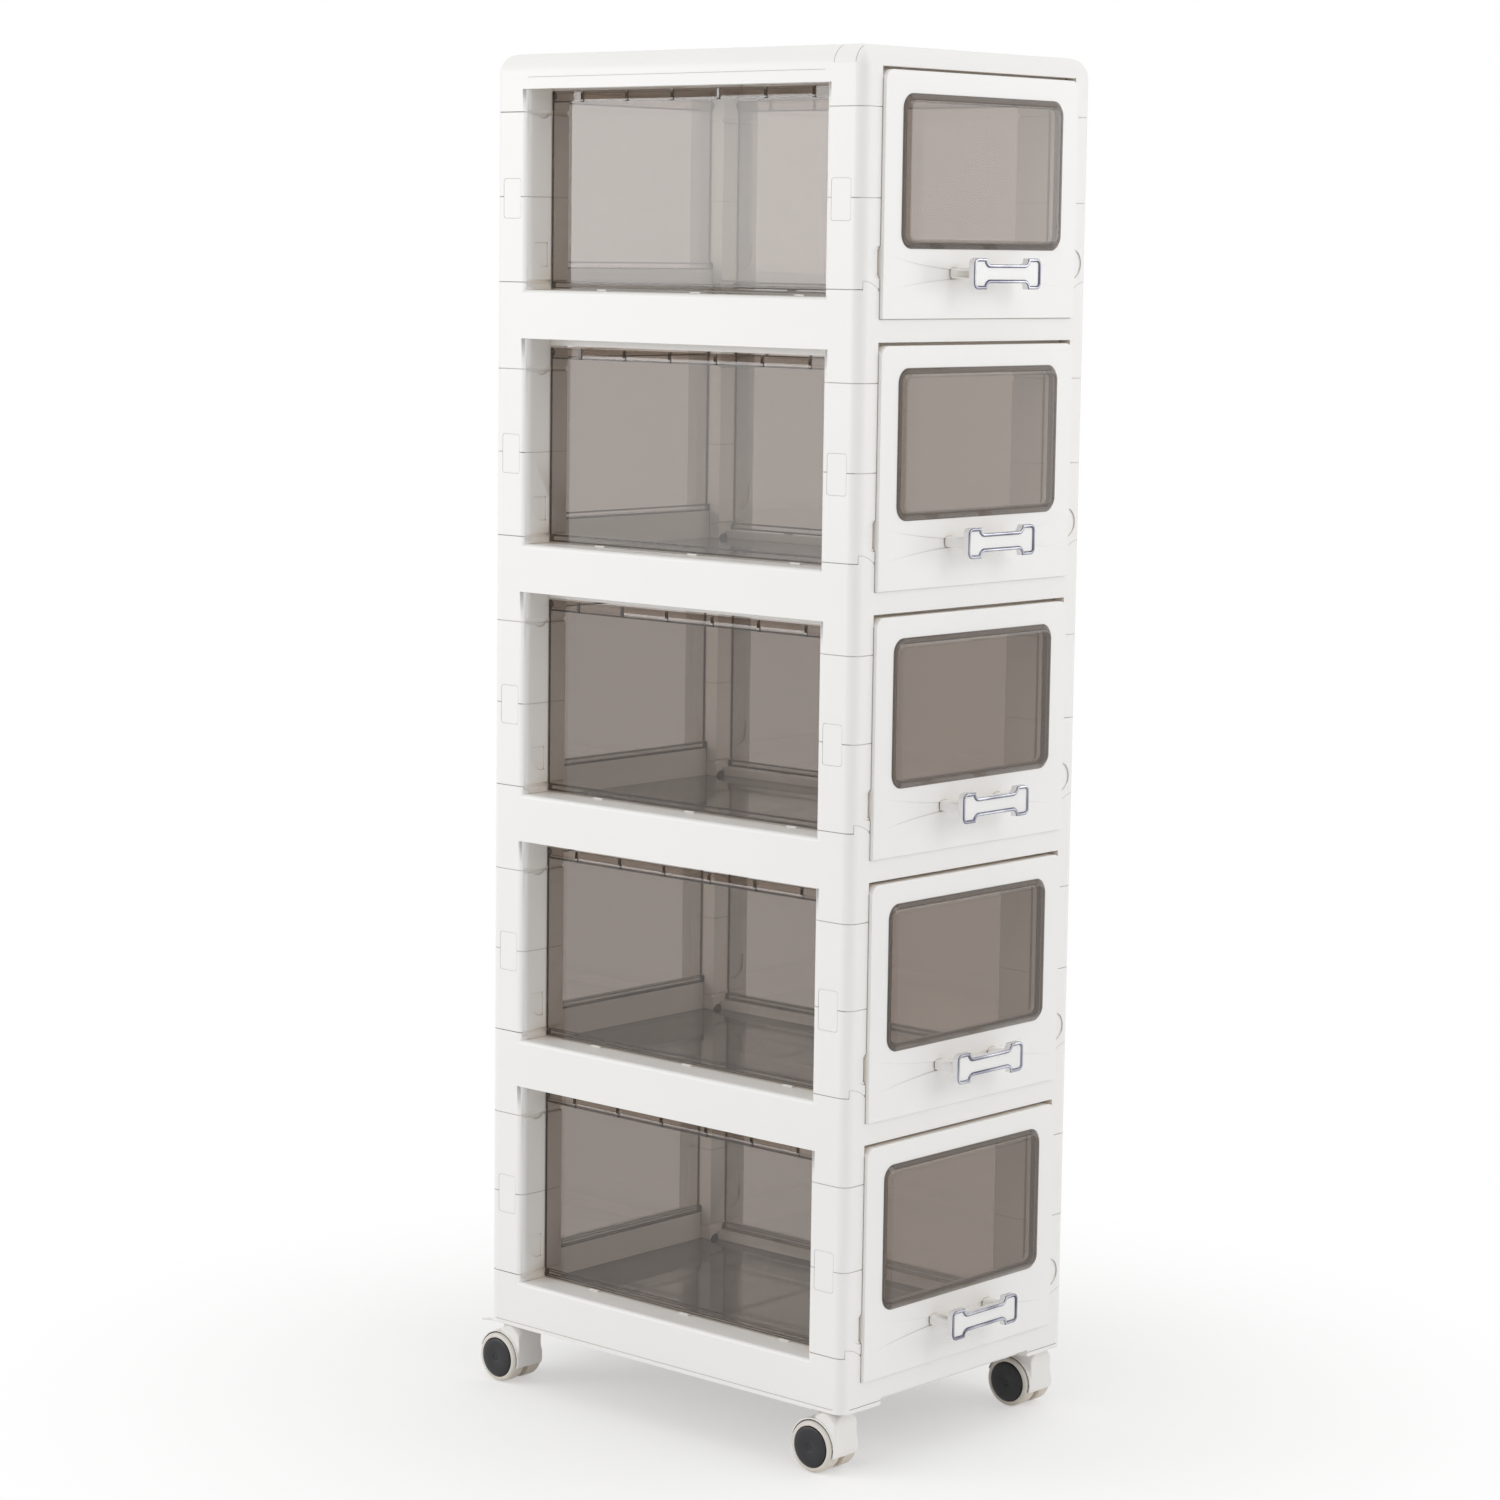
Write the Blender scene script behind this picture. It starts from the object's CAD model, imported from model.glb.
import math

import bmesh
import bpy
from mathutils import Matrix, Vector


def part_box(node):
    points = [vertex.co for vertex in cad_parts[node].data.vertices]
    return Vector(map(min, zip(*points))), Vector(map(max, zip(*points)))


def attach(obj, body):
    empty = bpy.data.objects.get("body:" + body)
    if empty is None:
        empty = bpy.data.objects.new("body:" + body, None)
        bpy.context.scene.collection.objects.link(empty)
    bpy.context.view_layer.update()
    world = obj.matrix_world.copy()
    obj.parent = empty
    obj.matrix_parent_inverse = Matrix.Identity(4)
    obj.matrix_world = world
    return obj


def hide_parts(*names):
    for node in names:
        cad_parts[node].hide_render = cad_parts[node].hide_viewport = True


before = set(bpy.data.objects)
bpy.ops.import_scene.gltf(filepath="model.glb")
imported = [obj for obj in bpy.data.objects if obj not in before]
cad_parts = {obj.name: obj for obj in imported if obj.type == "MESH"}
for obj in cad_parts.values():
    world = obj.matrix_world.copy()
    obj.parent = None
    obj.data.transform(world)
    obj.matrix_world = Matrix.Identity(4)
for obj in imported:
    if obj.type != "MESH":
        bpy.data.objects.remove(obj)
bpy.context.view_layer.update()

# ---------------------------------------------------------------------------
# Studio. The tower stands on a plain pale floor under soft, even light, and the
# camera looks slightly down at its near corner from a little below its top.
# ---------------------------------------------------------------------------
scene = bpy.context.scene
scene.view_settings.view_transform = "Standard"

base_low, base_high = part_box("base_frame")
body_middle = (base_low + base_high) / 2
body_middle.z = base_low.z

CAMERA_FROM_BODY = Vector((-2.8654, -2.5393, 1.0936))
CAMERA_HEADING, CAMERA_PITCH, CAMERA_ROLL = 47.98, -7.41, 0.77
FOCAL_PX, IMAGE_PX = 3879.4, 1500.0

camera_data = bpy.data.cameras.new("camera")
camera_data.sensor_fit = "HORIZONTAL"
camera_data.sensor_width = 36.0
camera_data.lens = FOCAL_PX / IMAGE_PX * camera_data.sensor_width
camera_data.clip_end = 50.0
camera = bpy.data.objects.new("camera", camera_data)
camera.matrix_world = (
    Matrix.Translation(body_middle + CAMERA_FROM_BODY)
    @ Matrix.Rotation(math.radians(-CAMERA_HEADING), 4, "Z")
    @ Matrix.Rotation(math.radians(90 + CAMERA_PITCH), 4, "X")
    @ Matrix.Rotation(math.radians(CAMERA_ROLL), 4, "Z")
)
scene.collection.objects.link(camera)
scene.camera = camera


def node_maker(tree):
    """Returns a short way to add a shader node and set its unlinked sockets."""

    def add(kind, **values):
        node = tree.nodes.new(kind)
        for name, value in values.items():
            if hasattr(node, name):
                setattr(node, name, value)
            else:
                node.inputs[name.replace("_", " ")].default_value = value
        return node

    return add


def seen_by_eye(tree):
    """1 where the camera, a gloss or a clear surface looks, and 0 for other light."""
    add, link = node_maker(tree), tree.links.new
    path = add("ShaderNodeLightPath")
    eye_or_gloss = add("ShaderNodeMath", operation="MAXIMUM")
    any_look = add("ShaderNodeMath", operation="MAXIMUM")
    link(path.outputs["Is Camera Ray"], eye_or_gloss.inputs[0])
    link(path.outputs["Is Glossy Ray"], eye_or_gloss.inputs[1])
    link(eye_or_gloss.outputs[0], any_look.inputs[0])
    link(path.outputs["Is Transmission Ray"], any_look.inputs[1])
    return any_look.outputs[0]


world = bpy.data.worlds.new("studio")
scene.world = world
world.use_nodes = True
world.node_tree.nodes.clear()
add_world = node_maker(world.node_tree)
sky = add_world("ShaderNodeBackground", Color=(1.0, 0.99, 0.975, 1.0), Strength=0.62)
backdrop = add_world("ShaderNodeBackground", Color=(1.0, 1.0, 1.0, 1.0), Strength=1.0)
world_mix = add_world("ShaderNodeMixShader")
world.node_tree.links.new(seen_by_eye(world.node_tree), world_mix.inputs[0])
world.node_tree.links.new(sky.outputs[0], world_mix.inputs[1])
world.node_tree.links.new(backdrop.outputs[0], world_mix.inputs[2])
world_out = add_world("ShaderNodeOutputWorld")
world.node_tree.links.new(world_mix.outputs[0], world_out.inputs[0])


def soft_lamp(name, place, size, watts, aim_height=0.65):
    lamp = bpy.data.lights.new(name, "AREA")
    lamp.shape = "RECTANGLE"
    lamp.size, lamp.size_y = size
    lamp.energy = watts
    holder = bpy.data.objects.new(name, lamp)
    towards = body_middle + Vector((0, 0, aim_height)) - Vector(place)
    holder.matrix_world = (
        Matrix.Translation(place) @ towards.to_track_quat("-Z", "Y").to_matrix().to_4x4()
    )
    scene.collection.objects.link(holder)


soft_lamp("lamp_front", (0.8, -3.2, 2.7), (2.2, 2.0), 21, aim_height=1.1)
soft_lamp("lamp_above", (-0.6, -0.6, 4.2), (3.0, 3.0), 20)
# The smoke panels mirror the left pair towards the camera and the door windows the right
# pair, strongly in the highest tiers and faintly in the lower ones.
soft_lamp("lamp_rear_left", (-2.9, 2.5, 1.78), (2.0, 1.4), 38, aim_height=1.78)
soft_lamp("lamp_rear_left_low", (-2.9, 2.5, 0.8), (2.0, 0.5), 5, aim_height=0.8)
soft_lamp("lamp_right", (2.97, -2.54, 1.5), (1.6, 0.9), 10, aim_height=1.5)
soft_lamp("lamp_right_low", (2.97, -2.54, 0.75), (1.6, 0.4), 2, aim_height=0.75)

floor_mesh = bpy.data.meshes.new("floor")
FLOOR_HALF, FLOOR_SUNK = 14.0, 0.0005
floor_mesh.from_pydata(
    [
        (x * FLOOR_HALF, y * FLOOR_HALF, -FLOOR_SUNK)
        for x, y in ((-1, -1), (1, -1), (1, 1), (-1, 1))
    ],
    [],
    [(0, 1, 2, 3)],
)
floor = bpy.data.objects.new("floor", floor_mesh)
scene.collection.objects.link(floor)
floor_material = bpy.data.materials.new("studio_floor")
floor_material.use_nodes = True
floor_tree = floor_material.node_tree
add_floor, link_floor = node_maker(floor_tree), floor_tree.links.new
floor_shader = floor_tree.nodes["Principled BSDF"]
floor_shader.inputs["Base Color"].default_value = (0.96, 0.96, 0.96, 1)
floor_shader.inputs["Roughness"].default_value = 0.8
# The lit floor keeps the tower's shadow, and turns to the backdrop's white away from it.
FLOOR_WHITE_NEAR = 0.45
floor_place = add_floor("ShaderNodeTexCoord")
from_tower = add_floor("ShaderNodeVectorMath", operation="LENGTH")
fade = add_floor("ShaderNodeMapRange", From_Min=0.2, From_Max=0.9, To_Min=FLOOR_WHITE_NEAR)
fade.interpolation_type = "SMOOTHSTEP"
fade_seen = add_floor("ShaderNodeMath", operation="MULTIPLY")
floor_white = add_floor("ShaderNodeEmission", Color=(1, 1, 1, 1), Strength=1.0)
floor_mix = add_floor("ShaderNodeMixShader")
link_floor(floor_place.outputs["Object"], from_tower.inputs[0])
link_floor(from_tower.outputs["Value"], fade.inputs["Value"])
link_floor(fade.outputs["Result"], fade_seen.inputs[0])
link_floor(seen_by_eye(floor_tree), fade_seen.inputs[1])
link_floor(fade_seen.outputs[0], floor_mix.inputs[0])
link_floor(floor_shader.outputs[0], floor_mix.inputs[1])
link_floor(floor_white.outputs[0], floor_mix.inputs[2])
link_floor(floor_mix.outputs[0], floor_tree.nodes["Material Output"].inputs["Surface"])
floor.data.materials.append(floor_material)


# ---------------------------------------------------------------------------
# Base frame. One white polypropylene moulding: a tray ring of hollow rails with
# a ledge outside each panel, corner blocks for the posts, and caster sockets.
# ---------------------------------------------------------------------------
# Share of the plastic's colour that is left in its recesses and in its seams
RECESS_CAST, SEAM_SHADE = (0.97, 0.9, 0.82), (0.5, 0.45, 0.41)
RECESS_REACH, SEAM_REACH = 0.05, 0.002
PLASTIC_IOR = 1.49


def moulded(name, colour, roughness, ripple=0.02, grain=0.06):
    """Injection-moulded plastic: faint cloudy colour, a slow ripple, a fine grain, the
    warm cast of light that bounces about its recesses, and the shade in its seams."""
    material = bpy.data.materials.new(name)
    material.use_nodes = True
    tree = material.node_tree
    shader = tree.nodes["Principled BSDF"]
    add, link = node_maker(tree), tree.links.new
    place = add("ShaderNodeTexCoord")
    cloud = add("ShaderNodeTexNoise", Scale=7.0, Detail=3.0, Roughness=0.5)
    link(place.outputs["Object"], cloud.inputs["Vector"])
    tone = add("ShaderNodeMix", data_type="RGBA")
    link(cloud.outputs["Fac"], tone.inputs["Factor"])
    tone.inputs["A"].default_value = (*(c * 0.975 for c in colour), 1)
    tone.inputs["B"].default_value = (*(min(1.0, c * 1.02) for c in colour), 1)
    crevice = add("ShaderNodeAmbientOcclusion", Distance=SEAM_REACH, samples=12)
    in_gap = add("ShaderNodeMapRange", From_Min=0.35, From_Max=0.8)
    gap_tone = add("ShaderNodeMix", data_type="RGBA")
    gap_tone.inputs["A"].default_value = (*(c * s for c, s in zip(colour, SEAM_SHADE)), 1)
    link(crevice.outputs["AO"], in_gap.inputs["Value"])
    link(in_gap.outputs["Result"], gap_tone.inputs["Factor"])
    recess = add("ShaderNodeAmbientOcclusion", Distance=RECESS_REACH, samples=8)
    in_open = add("ShaderNodeMapRange", From_Min=0.2, From_Max=0.6)
    recess_tone = add("ShaderNodeMix", data_type="RGBA")
    recess_tone.inputs["A"].default_value = (*(c * s for c, s in zip(colour, RECESS_CAST)), 1)
    link(recess.outputs["AO"], in_open.inputs["Value"])
    link(in_open.outputs["Result"], recess_tone.inputs["Factor"])
    link(tone.outputs["Result"], recess_tone.inputs["B"])
    link(recess_tone.outputs["Result"], gap_tone.inputs["B"])
    link(gap_tone.outputs["Result"], shader.inputs["Base Color"])
    gloss = add("ShaderNodeMapRange", To_Min=roughness - 0.05, To_Max=roughness + 0.06)
    link(cloud.outputs["Fac"], gloss.inputs["Value"])
    link(gloss.outputs["Result"], shader.inputs["Roughness"])
    fine = add("ShaderNodeTexNoise", Scale=1400.0, Detail=2.0)
    slow = add("ShaderNodeTexNoise", Scale=18.0, Detail=1.0)
    for texture in (fine, slow):
        link(place.outputs["Object"], texture.inputs["Vector"])
    slow_bump = add("ShaderNodeBump", Strength=ripple, Distance=0.01)
    fine_bump = add("ShaderNodeBump", Strength=grain, Distance=0.0002)
    link(slow.outputs["Fac"], slow_bump.inputs["Height"])
    link(fine.outputs["Fac"], fine_bump.inputs["Height"])
    link(slow_bump.outputs["Normal"], fine_bump.inputs["Normal"])
    link(fine_bump.outputs["Normal"], shader.inputs["Normal"])
    shader.inputs["IOR"].default_value = PLASTIC_IOR
    return material


# An edge is rounded where it is sharp enough, and where it, the faces beside it and the
# edges that meet it are long enough, as multiples of the rounding's width.
ROUNDED_FROM_DEG = 35
EDGE_LEAST, FACE_LEAST, NEIGHBOUR_LEAST = 0.8, 2.2, 1.3


def edges_to_round(shape, width):
    """The sharp outer edges whose faces and neighbours leave room for a rounding."""
    chosen = set()
    for edge in shape.edges:
        if len(edge.link_faces) != 2 or edge.calc_length() < EDGE_LEAST * width:
            continue
        if edge.calc_face_angle_signed() < math.radians(ROUNDED_FROM_DEG):
            continue
        widths = [face.calc_area() / edge.calc_length() for face in edge.link_faces]
        if min(widths) > FACE_LEAST * width:
            chosen.add(edge)
    crowded = True
    while crowded:
        crowded = {
            edge for edge in chosen for corner in edge.verts for other in corner.link_edges
            if other not in chosen and other.calc_length() < NEIGHBOUR_LEAST * width
        }
        chosen -= crowded
    return list(chosen)


def plain_mesh(piece):
    """Applies what modifiers a piece has and leaves it without any."""
    mesh = bpy.data.meshes.new_from_object(
        piece.evaluated_get(bpy.context.evaluated_depsgraph_get())
    )
    piece.modifiers.clear()
    piece.data = mesh
    return piece


def evenly_shaded(piece):
    """Lets large flat faces keep their own normals, so that only the roundings shade softly."""
    weighted = piece.modifiers.new("evenly_shaded", "WEIGHTED_NORMAL")
    weighted.mode = "FACE_AREA"
    weighted.keep_sharp = True
    plain_mesh(piece)


WELD = 1e-6
FLAT_WITHIN_DEG, CREASE_DEG = 0.1, 32


def welded(mesh):
    """A CAD mesh's loose triangles joined to one shape, with its flat faces whole."""
    shape = bmesh.new()
    shape.from_mesh(mesh)
    bmesh.ops.remove_doubles(shape, verts=shape.verts, dist=WELD)
    bmesh.ops.dissolve_limit(
        shape, angle_limit=math.radians(FLAT_WITHIN_DEG), verts=shape.verts, edges=shape.edges
    )
    return shape


def finished(shape, mesh, crease, *materials):
    """Writes a shape to its mesh, sharp at its creases, with its materials."""
    shape.to_mesh(mesh)
    shape.free()
    mesh.set_sharp_from_angle(angle=math.radians(crease))
    for material in materials:
        mesh.materials.append(material)


def added(name, mesh):
    piece = bpy.data.objects.new(name, mesh)
    scene.collection.objects.link(piece)
    return piece


def handed_over(piece, body, node=None):
    """Tells the frame which body a piece rides on and the node it replaces."""
    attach(piece, body)
    if node:
        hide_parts(node)


def softened(node, body, material, edge=0.0006, source=None):
    """A CAD node, or a source mesh for it, with its outer edges rounded, in its place."""
    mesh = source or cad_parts[node].data.copy()
    mesh.materials.clear()
    shape = welded(mesh)
    bmesh.ops.bevel(
        shape, geom=edges_to_round(shape, edge), offset=edge, segments=2, profile=0.5,
        affect="EDGES", clamp_overlap=True,
    )
    for face in shape.faces:
        face.smooth = True
    finished(shape, mesh, CREASE_DEG, material)
    piece = added(node + "_moulding", mesh)
    evenly_shaded(piece)
    handed_over(piece, body, node)


frame_plastic = moulded("frame_plastic", (0.9, 0.896, 0.885), 0.42)
softened("base_frame", "root", frame_plastic)

# ---------------------------------------------------------------------------
# Tier frames. The same white moulding between two tiers, whose corner blocks
# also reach down over the posts below and carry the pins of doors and panels.
# ---------------------------------------------------------------------------
TIERS = range(1, 6)
for tier in TIERS[:-1]:
    softened(f"tier_frame_{tier}", "root", frame_plastic)

# ---------------------------------------------------------------------------
# Top frame. A closed white plate over the highest tier, moulded in one with its
# rails and corner blocks. Its upper edges roll over in a wide hollow shoulder,
# with a cap let into it over each front corner.
# ---------------------------------------------------------------------------
top_low, top_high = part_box("top_frame")
CORNER_R, SHOULDER_R, SHOULDER_WALL = 0.011, 0.020, 0.0034
SHOULDER_STEPS, CORNER_STEPS = 14, 8
# How far the cutting solids stand past the moulding, how far the added wall stays inside
# it, and the least radius of a corner that is drawn in
SPARE, WALL_INSET, LEAST_CORNER_R = 0.002, 0.001, 0.0006
CAP_LINE_W, CAP_LINE_DEEP, CAP_FROM_FRONT, CAP_W = 0.0005, 0.0005, 0.010, 0.026
CAP_LINE_PROUD, CAP_LINE_LOW_DEG = 0.001, 8.0


def round_rect(half_w, half_h, radius):
    """Points round a rectangle with round corners, about its own middle."""
    points = []
    for quarter, (side_u, side_v) in enumerate(((1, 1), (-1, 1), (-1, -1), (1, -1))):
        for step in range(CORNER_STEPS + 1):
            turn = math.pi / 2 * (quarter + step / CORNER_STEPS)
            points.append((
                side_u * (half_w - radius) + radius * math.cos(turn),
                side_v * (half_h - radius) + radius * math.sin(turn),
            ))
    return points


def walled(shape, rings, closed=False):
    """Faces between each ring of points and the next, as one list for each strip."""
    made = [[shape.verts.new(point) for point in ring] for ring in rings]
    pairs = list(zip(made, made[1:] + made[:1])) if closed else list(zip(made, made[1:]))
    strips = []
    for here, there in pairs:
        count = len(here)
        strips.append([
            shape.faces.new((here[i], here[(i + 1) % count], there[(i + 1) % count], there[i]))
            for i in range(count)
        ])
    if not closed:
        shape.faces.new(made[0])
        shape.faces.new(reversed(made[-1]))
    return strips


def shoulder_arc(radius, low=0.0):
    """Places along the shoulder as metres in from the outline and down from the top."""
    places = []
    for step in range(SHOULDER_STEPS + 1):
        turn = math.radians(low + (90.0 - low) * step / SHOULDER_STEPS)
        places.append((
            SHOULDER_R - radius * math.cos(turn), SHOULDER_R - radius * math.sin(turn)
        ))
    return places


def helper(name, shape):
    """A closed solid to add to a moulding or to cut it with."""
    bmesh.ops.recalc_face_normals(shape, faces=shape.faces)
    mesh = bpy.data.meshes.new(name)
    shape.to_mesh(mesh)
    shape.free()
    return added(name, mesh)


def shoulder_bead(name, section):
    """A section carried all the way round the top's outline."""
    half_w, half_d = (top_high.x - top_low.x) / 2, (top_high.y - top_low.y) / 2
    middle = (top_low + top_high) / 2
    shape = bmesh.new()
    rings = []
    for inset, down in section:
        radius = max(CORNER_R - inset, LEAST_CORNER_R)
        outline = round_rect(half_w - inset, half_d - inset, radius)
        rings.append([(middle.x + u, middle.y + v, top_high.z - down) for u, v in outline])
    walled(shape, rings, closed=True)
    return helper(name, shape)


def cap_lines(name):
    """Hairline grooves across the shoulder, before and behind each front corner's cap."""
    shape = bmesh.new()
    floor_of_groove = shoulder_arc(SHOULDER_R - CAP_LINE_DEEP, low=CAP_LINE_LOW_DEG)
    outside_top = shoulder_arc(SHOULDER_R + CAP_LINE_PROUD, low=CAP_LINE_LOW_DEG)
    section = floor_of_groove + outside_top[::-1]
    for side in (-1, 1):
        edge_x = top_high.x if side > 0 else top_low.x
        for start in (CAP_FROM_FRONT, CAP_FROM_FRONT + CAP_W):
            walled(shape, [
                [
                    (edge_x - side * inset, top_low.y + start + across, top_high.z - down)
                    for inset, down in section
                ]
                for across in (0.0, CAP_LINE_W)
            ])
    return helper(name, shape)


top_shape = bmesh.new()
top_shape.from_mesh(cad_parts["top_frame"].data)
bmesh.ops.remove_doubles(top_shape, verts=top_shape.verts, dist=WELD)
top_blank = helper("top_blank", top_shape)
wall_section = shoulder_arc(SHOULDER_R - SHOULDER_WALL) + [
    (SHOULDER_R, WALL_INSET), (WALL_INSET, WALL_INSET), (WALL_INSET, SHOULDER_R)
]
cut_section = (
    [(-SPARE, SHOULDER_R + SPARE)] + shoulder_arc(SHOULDER_R)
    + [(SHOULDER_R + SPARE, -SPARE), (-SPARE, -SPARE)]
)
shoulder_tools = [
    ("UNION", shoulder_bead("shoulder_wall", wall_section)),
    ("DIFFERENCE", shoulder_bead("shoulder_cut", cut_section)),
    ("DIFFERENCE", cap_lines("cap_lines")),
]
for operation, tool in shoulder_tools:
    cut = top_blank.modifiers.new(tool.name, "BOOLEAN")
    cut.operation, cut.object, cut.solver = operation, tool, "EXACT"
top_mesh = plain_mesh(top_blank).data
softened("top_frame", "root", frame_plastic, source=top_mesh)
for holder in [top_blank] + [tool for operation, tool in shoulder_tools]:
    bpy.data.objects.remove(holder)

# ---------------------------------------------------------------------------
# Corner posts. Each is two hollow white lengths, moulded in the frames' plastic, that
# meet at a knee and stand between the corner blocks of two frames.
# ---------------------------------------------------------------------------
for tier in TIERS:
    softened(f"lower_posts_{tier}", "root", frame_plastic)
    softened(f"upper_posts_{tier}", "root", frame_plastic)

# ---------------------------------------------------------------------------
# Knee hinges. Flush white plates over the knee of every post, which hold its two
# lengths in line and let them fold when the tower is packed flat.
# ---------------------------------------------------------------------------
softened("knee_hinges", "root", frame_plastic, edge=0.0004)

# ---------------------------------------------------------------------------
# Corner bungs. Dark rubber plugs on the front faces of the frames' two rear corner
# blocks, one in each of the four lower tiers, pressed into a hole of the moulding.
# ---------------------------------------------------------------------------
bung_rubber = moulded("bung_rubber", (0.05, 0.04, 0.035), 0.45, ripple=0.0, grain=0.3)
BUNG_ROWS, TIER_PITCH = 4, 0.25
BUNG_ABOVE_FLOOR, BUNG_FROM_MIDDLE = 0.1015, 0.121
BUNG_SIZE, BUNG_TURN, BUNG_SEED = (0.015, 0.004, 0.0115), 0.06, 4
CORNER_DEEP = 0.046


def bung_tree():
    """A row of flattened balls up one corner and its mirror image up the other."""
    tree = bpy.data.node_groups.new("post_bungs", "GeometryNodeTree")
    for name, kind in (
        ("Rows", "NodeSocketInt"), ("Pitch", "NodeSocketVector"), ("First", "NodeSocketVector"),
        ("Size", "NodeSocketVector"), ("Turn", "NodeSocketVector"), ("Seed", "NodeSocketInt"),
        ("Rubber", "NodeSocketMaterial"),
    ):
        tree.interface.new_socket(name, in_out="INPUT", socket_type=kind)
    tree.interface.new_socket("Bungs", in_out="OUTPUT", socket_type="NodeSocketGeometry")
    add, link = node_maker(tree), tree.links.new
    given = add("NodeGroupInput").outputs
    row = add("GeometryNodeMeshLine", mode="OFFSET")
    link(given["Rows"], row.inputs["Count"])
    link(given["First"], row.inputs["Start Location"])
    link(given["Pitch"], row.inputs["Offset"])
    mirrored = add("GeometryNodeTransform", Scale=(-1, 1, 1))
    link(row.outputs["Mesh"], mirrored.inputs["Geometry"])
    places = add("GeometryNodeJoinGeometry")
    link(row.outputs["Mesh"], places.inputs["Geometry"])
    link(mirrored.outputs["Geometry"], places.inputs["Geometry"])
    ball = add("GeometryNodeMeshUVSphere", Segments=40, Rings=20, Radius=0.5)
    turn = add("FunctionNodeRandomValue", data_type="FLOAT_VECTOR")
    link(given["Turn"], turn.inputs["Max"])
    link(given["Seed"], turn.inputs["Seed"])
    turn.inputs["Min"].default_value = (0, 0, 0)
    bungs = add("GeometryNodeInstanceOnPoints")
    link(places.outputs["Geometry"], bungs.inputs["Points"])
    link(ball.outputs["Mesh"], bungs.inputs["Instance"])
    link(turn.outputs["Value"], bungs.inputs["Rotation"])
    link(given["Size"], bungs.inputs["Scale"])
    real = add("GeometryNodeRealizeInstances")
    link(bungs.outputs["Instances"], real.inputs["Geometry"])
    soft = add("GeometryNodeSetShadeSmooth")
    link(real.outputs["Geometry"], soft.inputs["Geometry"])
    coloured = add("GeometryNodeSetMaterial")
    link(soft.outputs["Geometry"], coloured.inputs["Geometry"])
    link(given["Rubber"], coloured.inputs["Material"])
    link(coloured.outputs["Geometry"], add("NodeGroupOutput").inputs["Bungs"])
    return tree


rear_corners_face = base_high.y - CORNER_DEEP
bungs = added("post_bungs", bpy.data.meshes.new("post_bungs"))
bung_maker = bungs.modifiers.new("post_bungs", "NODES")
bung_maker.node_group = bung_tree()
bung_inputs = {
    "Rows": BUNG_ROWS, "Pitch": (0.0, 0.0, TIER_PITCH),
    "First": (BUNG_FROM_MIDDLE, rear_corners_face, BUNG_ABOVE_FLOOR),
    "Size": BUNG_SIZE, "Turn": (0.0, BUNG_TURN, 0.0), "Seed": BUNG_SEED, "Rubber": bung_rubber,
}
for socket in bung_maker.node_group.interface.items_tree:
    if socket.in_out == "INPUT":
        bung_maker[socket.identifier] = bung_inputs[socket.name]
plain_mesh(bungs)
handed_over(bungs, "root")


# ---------------------------------------------------------------------------
# Shelves. Plates of dark clear plastic, one in each tier, that lie loose on the lip
# inside the frame below them.
# ---------------------------------------------------------------------------
BOUNCE_WARMTH, LIGHT_TINT_SHARE = (1.0, 0.975, 0.95), 0.2


def smoke(name, tint, body_colour, body_share, roughness):
    """Clear tinted plastic: each face lets tinted light through and mirrors a little.

    Light that reaches the inside is tinted by a fifth as much as what the eye sees, and warm,
    which stands for all that bounces between the white walls and the smoke.
    """
    material = bpy.data.materials.new(name)
    material.use_nodes = True
    tree = material.node_tree
    add, link = node_maker(tree), tree.links.new
    shader = tree.nodes["Principled BSDF"]
    output = tree.nodes["Material Output"]
    place = add("ShaderNodeTexCoord")
    cloud = add("ShaderNodeTexNoise", Scale=9.0, Detail=2.0)
    link(place.outputs["Object"], cloud.inputs["Vector"])
    tone = add("ShaderNodeMix", data_type="RGBA")
    link(cloud.outputs["Fac"], tone.inputs["Factor"])
    tone.inputs["A"].default_value = (*(c * 0.93 for c in body_colour), 1)
    tone.inputs["B"].default_value = (*(c * 1.07 for c in body_colour), 1)
    link(tone.outputs["Result"], shader.inputs["Base Color"])
    shader.inputs["Roughness"].default_value = roughness
    shader.inputs["IOR"].default_value = PLASTIC_IOR
    clear = add("ShaderNodeBsdfTransparent")
    clear_tint = add("ShaderNodeMix", data_type="RGBA")
    light_tint = [warm - LIGHT_TINT_SHARE * (1 - t) for warm, t in zip(BOUNCE_WARMTH, tint)]
    clear_tint.inputs["A"].default_value = (*light_tint, 1)
    clear_tint.inputs["B"].default_value = (*tint, 1)
    link(seen_by_eye(tree), clear_tint.inputs["Factor"])
    link(clear_tint.outputs["Result"], clear.inputs["Color"])
    seen_through = add("ShaderNodeMixShader")
    seen_through.inputs[0].default_value = body_share
    link(clear.outputs[0], seen_through.inputs[1])
    link(shader.outputs[0], seen_through.inputs[2])
    edge_gloss = add("ShaderNodeFresnel", IOR=PLASTIC_IOR)
    side = add("ShaderNodeNewGeometry")
    outer_gloss = add("ShaderNodeMix", data_type="FLOAT")
    link(side.outputs["Backfacing"], outer_gloss.inputs["Factor"])
    link(edge_gloss.outputs[0], outer_gloss.inputs["A"])
    outer_gloss.inputs["B"].default_value = 0.0
    mirror = add("ShaderNodeBsdfGlossy", Color=(1, 1, 1, 1), Roughness=roughness)
    face = add("ShaderNodeMixShader")
    link(outer_gloss.outputs["Result"], face.inputs[0])
    link(seen_through.outputs[0], face.inputs[1])
    link(mirror.outputs[0], face.inputs[2])
    link(face.outputs[0], output.inputs["Surface"])
    return material


shelf_plastic = smoke("shelf_plastic", (0.6, 0.57, 0.545), (0.2, 0.18, 0.17), 0.4, 0.08)
for tier in TIERS:
    softened(f"shelf_{tier}", "root", shelf_plastic, edge=0.0004)

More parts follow.
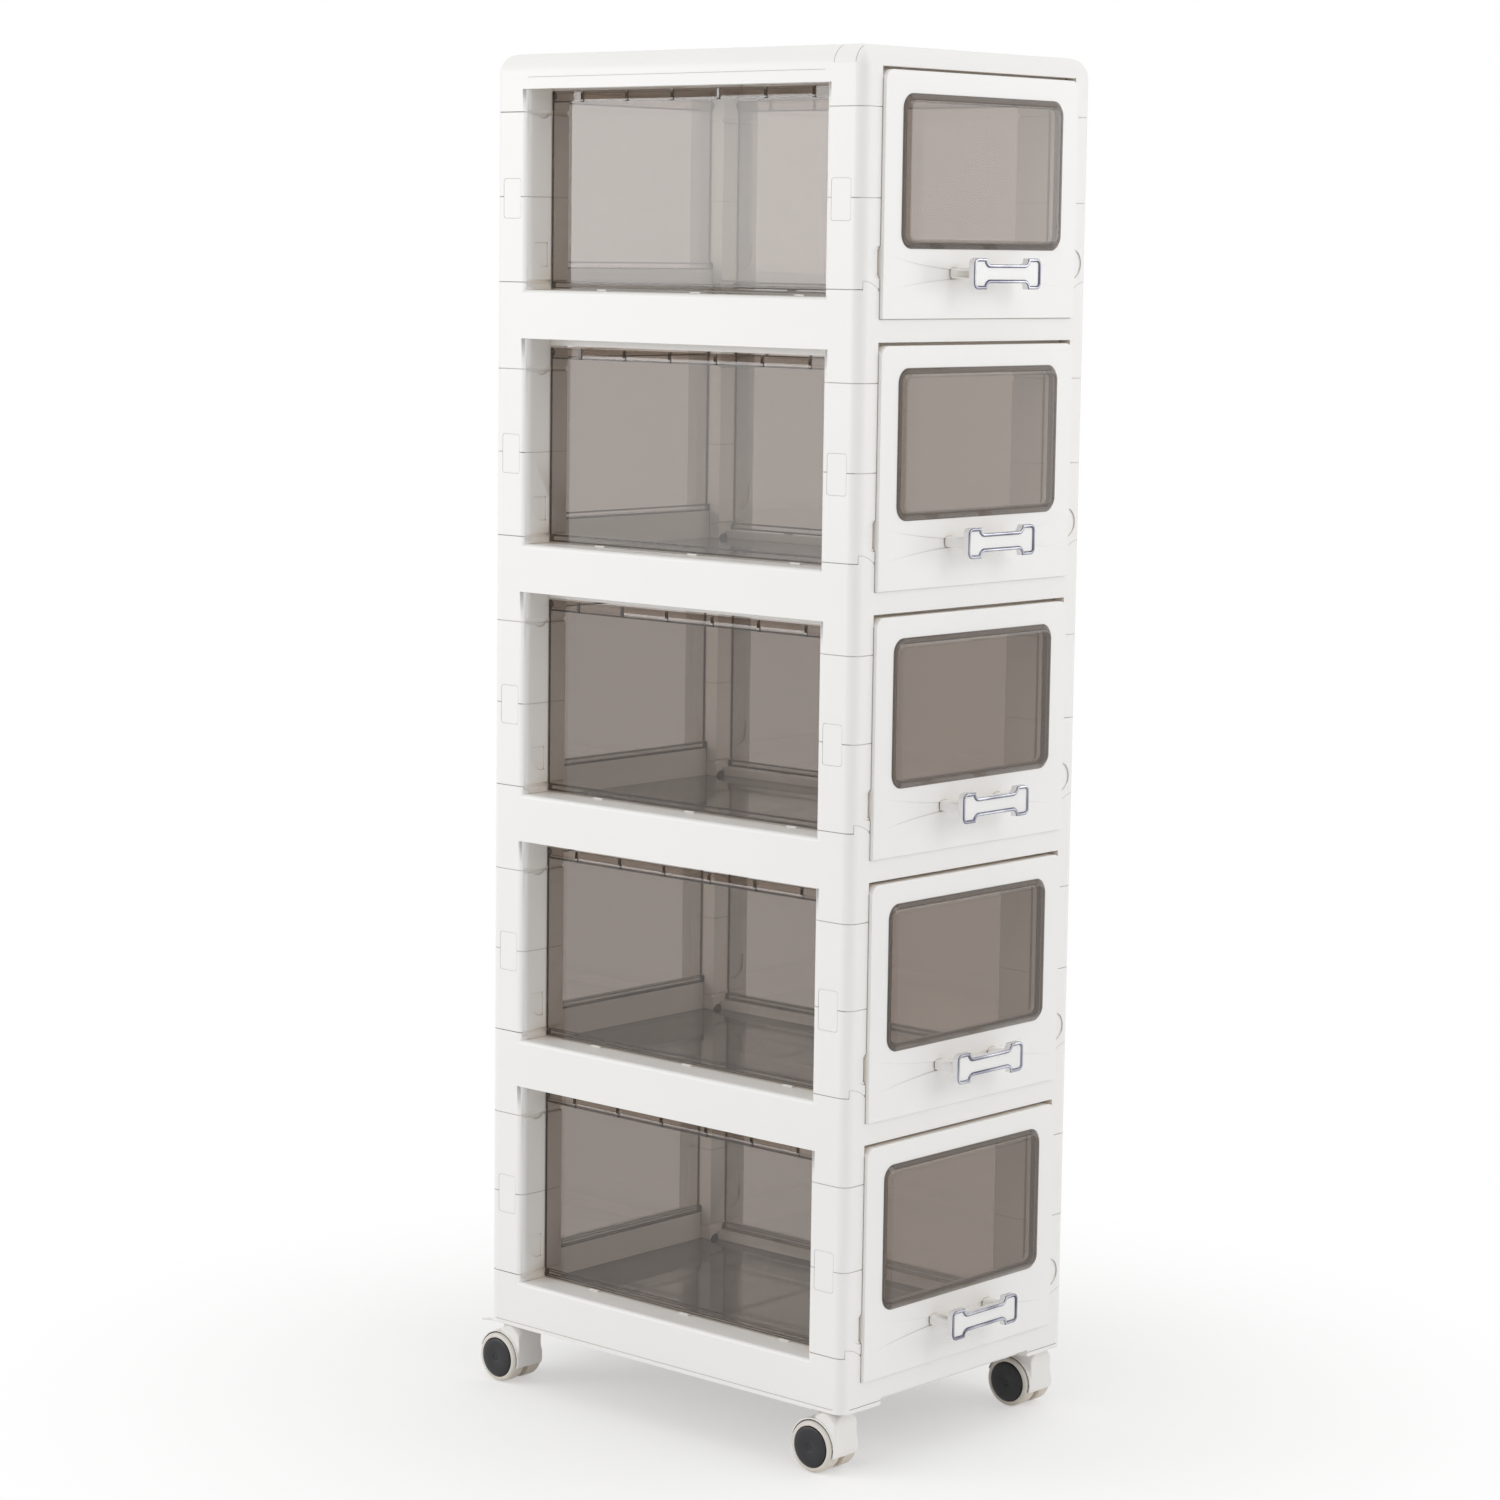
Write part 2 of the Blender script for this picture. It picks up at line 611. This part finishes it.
# ---------------------------------------------------------------------------
# Back and side panels. Thin leaves of clear smoke plastic with a thicker hinge band and
# foot, moulded in one. The side leaves swing on pins under the frame above them, and the
# back leaves stay in their place.
# ---------------------------------------------------------------------------
panel_plastic = smoke("panel_plastic", (0.715, 0.688, 0.668), (0.36, 0.32, 0.29), 0.05, 0.03)
panel_thick = smoke("panel_thick", (0.68, 0.63, 0.59), (0.3, 0.25, 0.22), 0.1, 0.05)
panel_rib = smoke("panel_rib", (0.26, 0.21, 0.18), (0.05, 0.04, 0.034), 0.7, 0.1)
# Heights down from the leaf's top and up from its foot where its look changes
HINGE_BAND_H, HINGE_LINE_H = 0.011, 0.0013
FOOT_LINE_H, FOOT_BAND_H, FOOT_FLANGE_H = 0.0012, 0.0055, 0.0067
SIDE_LEDGE = 0.033
RIB_PROUD, FLANGE_SPARE = 0.0003, 0.001
side_reach = (base_high.x - base_low.x) / 2 - SIDE_LEDGE
CLEAR, DARK, DENSE = range(3)


def hung_leaf(node, body, facing):
    """A panel that faces one way: clear in the middle, denser in its hinge band and foot."""
    low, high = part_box(node)
    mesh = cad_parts[node].data.copy()
    mesh.materials.clear()
    shape = welded(mesh)
    band_low, foot = high.z - HINGE_BAND_H, low.z
    zones = [
        (foot + FOOT_LINE_H, DARK), (foot + FOOT_BAND_H, CLEAR), (foot + FOOT_FLANGE_H, DARK),
        (band_low, CLEAR), (band_low + HINGE_LINE_H, DARK), (high.z, DENSE),
    ]
    for height, look in zones[:-1]:
        bmesh.ops.bisect_plane(
            shape, geom=shape.verts[:] + shape.edges[:] + shape.faces[:],
            plane_co=(0, 0, height), plane_no=(0, 0, 1),
        )
    for face in shape.faces:
        middle = face.calc_center_median()
        on_rib = facing[0] and abs(middle.x - body_middle.x) > side_reach + RIB_PROUD
        if abs(face.normal.z) > 0.7 and middle.z < foot + FOOT_FLANGE_H + FLANGE_SPARE:
            face.material_index = CLEAR
        elif on_rib or abs(face.normal.dot(Vector(facing))) < 0.5:
            face.material_index = DARK
        else:
            face.material_index = next(look for height, look in zones if middle.z <= height)
        face.smooth = True
    finished(shape, mesh, CREASE_DEG, panel_plastic, panel_rib, panel_thick)
    piece = added(node + "_leaf", mesh)
    evenly_shaded(piece)
    handed_over(piece, body, node)


for tier in TIERS:
    hung_leaf(f"back_panel_{tier}", "root", (0, 1, 0))
    for side in ("left", "right"):
        hung_leaf(f"{side}_panel_{tier}", f"{side}_panel_{tier}", (1, 0, 0))

# ---------------------------------------------------------------------------
# Doors. Satin white mouldings, each with an opening for its window and a shallow bow
# pressed in below it, between two creases. They lift on pins at their upper corners.
# ---------------------------------------------------------------------------
door_plastic = moulded("door_plastic", (0.905, 0.903, 0.897), 0.33)
for tier in TIERS:
    softened(f"door_{tier}", f"door_{tier}", door_plastic)

# ---------------------------------------------------------------------------
# Door windows. Glossy trays of clear smoke plastic with a rounded rim, pressed into the
# door's opening from the front, so that they stand out from its face.
# ---------------------------------------------------------------------------
window_plastic = smoke("window_plastic", (0.688, 0.64, 0.6), (0.24, 0.205, 0.18), 0.14, 0.03)
window_rim = smoke("window_rim", (0.5, 0.45, 0.41), (0.14, 0.12, 0.105), 0.35, 0.06)
WINDOW_CORNER, WINDOW_LEAST_CORNER = 0.014, 0.003
TURNED_CREASE_DEG = 40
# Section of the tray from the middle of its pane to its foot on the door, and back inside:
# millimetres in from the outline, millimetres forward of the door's face, dark line or not
TRAY_FRONT = [
    (8.8, 4.4, True), (8.0, 4.4, True), (7.3, 5.0, False), (5.6, 5.0, True),
    (4.9, 4.7, False), (1.7, 2.2, False), (1.1, 1.7, True), (0.3, 1.0, True), (0.0, 0.7, True),
    (0.0, 0.0, True),
]
TRAY_BACK = [
    (5.7, 0.0, True), (5.7, -3.9, True), (7.4, -3.9, True), (7.6, 0.3, False), (9.3, 2.3, False),
]


def window_tray(tier):
    """The tray of one door, from its section carried round the window's outline."""
    node = f"door_window_{tier}"
    low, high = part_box(node)
    door_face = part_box(f"door_{tier}")[0].y
    middle = (low + high) / 2
    half_w, half_h = (high.x - low.x) / 2, (high.z - low.z) / 2
    shape = bmesh.new()
    section = TRAY_FRONT + TRAY_BACK
    rings = []
    for inset, forward, dark in section:
        radius = max(WINDOW_CORNER - inset / 1000, WINDOW_LEAST_CORNER)
        outline = round_rect(half_w - inset / 1000, half_h - inset / 1000, radius)
        rings.append([
            (middle.x + u, door_face - forward / 1000, middle.z + v) for u, v in outline
        ])
    strips = walled(shape, rings)
    for strip, here, there in zip(strips, section, section[1:]):
        for face in strip:
            face.material_index = int(here[2] and there[2])
            face.smooth = True
    bmesh.ops.recalc_face_normals(shape, faces=shape.faces)
    mesh = bpy.data.meshes.new(node + "_tray")
    finished(shape, mesh, TURNED_CREASE_DEG, window_plastic, window_rim)
    handed_over(added(node + "_tray", mesh), f"door_{tier}", node)


for tier in TIERS:
    window_tray(tier)

# ---------------------------------------------------------------------------
# Door handles. A glossy white bar with wide ends and a narrow waist, moulded with two
# legs that are fixed in the door, and framed by a plated band.
# ---------------------------------------------------------------------------
handle_plastic = moulded("handle_plastic", (0.9, 0.9, 0.9), 0.2, ripple=0.0, grain=0.0)


def bright_plating(name, dark, light):
    """Blue-grey plating, lighter along some stretches than along others."""
    material = bpy.data.materials.new(name)
    material.use_nodes = True
    tree = material.node_tree
    shader = tree.nodes["Principled BSDF"]
    add, link = node_maker(tree), tree.links.new
    place = add("ShaderNodeTexCoord")
    patch = add("ShaderNodeTexNoise", Scale=30.0, Detail=1.0)
    link(place.outputs["Object"], patch.inputs["Vector"])
    stretch = add("ShaderNodeMapRange", From_Min=0.35, From_Max=0.65)
    link(patch.outputs["Fac"], stretch.inputs["Value"])
    tone = add("ShaderNodeMix", data_type="RGBA")
    link(stretch.outputs["Result"], tone.inputs["Factor"])
    tone.inputs["A"].default_value = (*dark, 1)
    tone.inputs["B"].default_value = (*light, 1)
    link(tone.outputs["Result"], shader.inputs["Base Color"])
    gloss = add("ShaderNodeMapRange", To_Min=0.16, To_Max=0.26)
    link(patch.outputs["Fac"], gloss.inputs["Value"])
    link(gloss.outputs["Result"], shader.inputs["Roughness"])
    shader.inputs["Metallic"].default_value = 0.9
    return material


plating = bright_plating("handle_plating", (0.3, 0.3, 0.36), (0.6, 0.61, 0.66))
plating_edge = bright_plating("handle_plating_edge", (0.1, 0.1, 0.14), (0.24, 0.25, 0.3))
# Section of the plated band, from the outline of the handle's face inwards: millimetres
# in, millimetres forward of the face, and whether the strip that follows is a dark edge
BORDER_SECTION = [
    (0.15, -0.6, True), (0.15, 0.45, True), (0.6, 0.8, False), (2.1, 0.95, True),
    (3.0, 0.35, True), (3.4, -0.6, True),
]
LOBE_R, WAIST_R = 0.006, 0.005
WAIST_HALF_W, WAIST_HALF_H = 0.031, 0.00875
LOBE_STEPS, WAIST_STEPS = 6, 8


def plate_outline(half_w, half_h, inset):
    """Outline of the handle's plate, drawn in: two wide ends and a narrow waist."""
    lobe_r, waist_r = LOBE_R - inset, WAIST_R + inset
    waist_x, waist_z = WAIST_HALF_W - WAIST_R, WAIST_HALF_H + WAIST_R
    meets_end = math.asin((half_h - inset - waist_z) / waist_r)
    quarter = []
    for step in range(LOBE_STEPS + 1):
        turn = math.pi / 2 * step / LOBE_STEPS
        quarter.append((
            half_w - LOBE_R + lobe_r * math.cos(turn), half_h - LOBE_R + lobe_r * math.sin(turn)
        ))
    for step in range(WAIST_STEPS + 1):
        turn = meets_end - (meets_end + math.pi / 2) * step / WAIST_STEPS
        quarter.append((waist_x + waist_r * math.cos(turn), waist_z + waist_r * math.sin(turn)))
    upper = quarter + [(-x, z) for x, z in reversed(quarter)]
    return upper + [(x, -z) for x, z in reversed(upper)]


def handle_border(tier):
    """The plated band that follows the outline of the handle's face."""
    node = f"door_handle_{tier}"
    low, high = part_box(node)
    middle = (low + high) / 2
    half_w, half_h = (high.x - low.x) / 2, (high.z - low.z) / 2
    shape = bmesh.new()
    strips = walled(shape, [
        [
            (middle.x + x, low.y - forward / 1000, middle.z + z)
            for x, z in plate_outline(half_w, half_h, inset / 1000)
        ]
        for inset, forward, dark in BORDER_SECTION
    ], closed=True)
    for strip, (inset, forward, dark) in zip(strips, BORDER_SECTION):
        for face in strip:
            face.material_index = int(dark)
            face.smooth = True
    bmesh.ops.recalc_face_normals(shape, faces=shape.faces)
    mesh = bpy.data.meshes.new(node + "_border")
    finished(shape, mesh, TURNED_CREASE_DEG, plating, plating_edge)
    handed_over(added(node + "_border", mesh), f"door_{tier}")


for tier in TIERS:
    softened(f"door_handle_{tier}", f"door_{tier}", handle_plastic)
    handle_border(tier)

# ---------------------------------------------------------------------------
# Casters. White moulded hoods that swivel on a stem under the base, each over two wheels
# on one axle: a beige tread, and a black cap let into its outer face.
# ---------------------------------------------------------------------------
hood_plastic = moulded("hood_plastic", (0.88, 0.87, 0.85), 0.3)


HOOD_VOXEL, HOOD_RELAX_STEPS = 0.0008, 6


def melted(node, body, material):
    """A CAD node remeshed fine and smoothed, so that its parts flow into each other."""
    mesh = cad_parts[node].data.copy()
    mesh.materials.clear()
    piece = added(node + "_shell", mesh)
    remesh = piece.modifiers.new("even", "REMESH")
    remesh.mode = "VOXEL"
    remesh.voxel_size = HOOD_VOXEL
    remesh.use_smooth_shade = True
    relax = piece.modifiers.new("relax", "SMOOTH")
    relax.factor = 0.5
    relax.iterations = HOOD_RELAX_STEPS
    plain_mesh(piece)
    piece.data.materials.append(material)
    handed_over(piece, body, node)


tread_nylon = moulded("tread_nylon", (0.72, 0.69, 0.64), 0.38, ripple=0.0, grain=0.1)
cap_rubber = moulded("cap_rubber", (0.012, 0.011, 0.014), 0.4, ripple=0.0, grain=0.3)
# Sections of one wheel as (radius, distance outward from the caster's middle), in mm
TREAD_SECTION = [
    (6.0, 3.4), (22.2, 3.4), (24.2, 4.2), (25.0, 6.0), (25.0, 17.6), (24.3, 19.4), (22.8, 20.4),
    (20.6, 20.5), (20.2, 20.0), (20.2, 17.6), (6.0, 17.6),
]
CAP_SECTION = [
    (0.0, 21.2), (3.6, 21.2), (4.1, 21.7), (4.6, 21.9), (15.0, 21.7), (18.2, 21.4), (19.3, 20.9),
    (19.6, 20.2), (19.6, 17.0), (0.0, 17.0),
]


TURN_STEPS = 64


def turned(shape, section, centre, side):
    """Turns a section about the axle, on one side of the caster's middle."""
    rings = []
    for step in range(TURN_STEPS):
        turn = 2 * math.pi * step / TURN_STEPS
        rings.append([
            shape.verts.new((
                centre.x + side * out / 1000,
                centre.y + radius / 1000 * math.cos(turn),
                centre.z + radius / 1000 * math.sin(turn),
            ))
            for radius, out in section
        ])
    count = len(section)
    for here, there in zip(rings, rings[1:] + rings[:1]):
        for i in range(count):
            j = (i + 1) % count
            shape.faces.new((here[i], here[j], there[j], there[i]))


def wheel_pieces(number):
    """Both treads of a caster as one piece, and both caps as another."""
    node = f"caster_wheels_{number}"
    low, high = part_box(node)
    centre = (low + high) / 2
    for part, section, material in (
        ("treads", TREAD_SECTION, tread_nylon), ("caps", CAP_SECTION, cap_rubber)
    ):
        shape = bmesh.new()
        for side in (-1, 1):
            turned(shape, section, centre, side)
        bmesh.ops.remove_doubles(shape, verts=shape.verts, dist=WELD)
        bmesh.ops.dissolve_degenerate(shape, edges=shape.edges, dist=1e-7)
        bmesh.ops.recalc_face_normals(shape, faces=shape.faces)
        for face in shape.faces:
            face.smooth = True
        mesh = bpy.data.meshes.new(f"{node}_{part}")
        finished(shape, mesh, TURNED_CREASE_DEG, material)
        replaced = node if part == "treads" else None
        handed_over(added(f"{node}_{part}", mesh), f"wheels_{number}", replaced)


CASTERS = range(1, 5)
for number in CASTERS:
    melted(f"caster_hood_{number}", f"caster_{number}", hood_plastic)
    wheel_pieces(number)
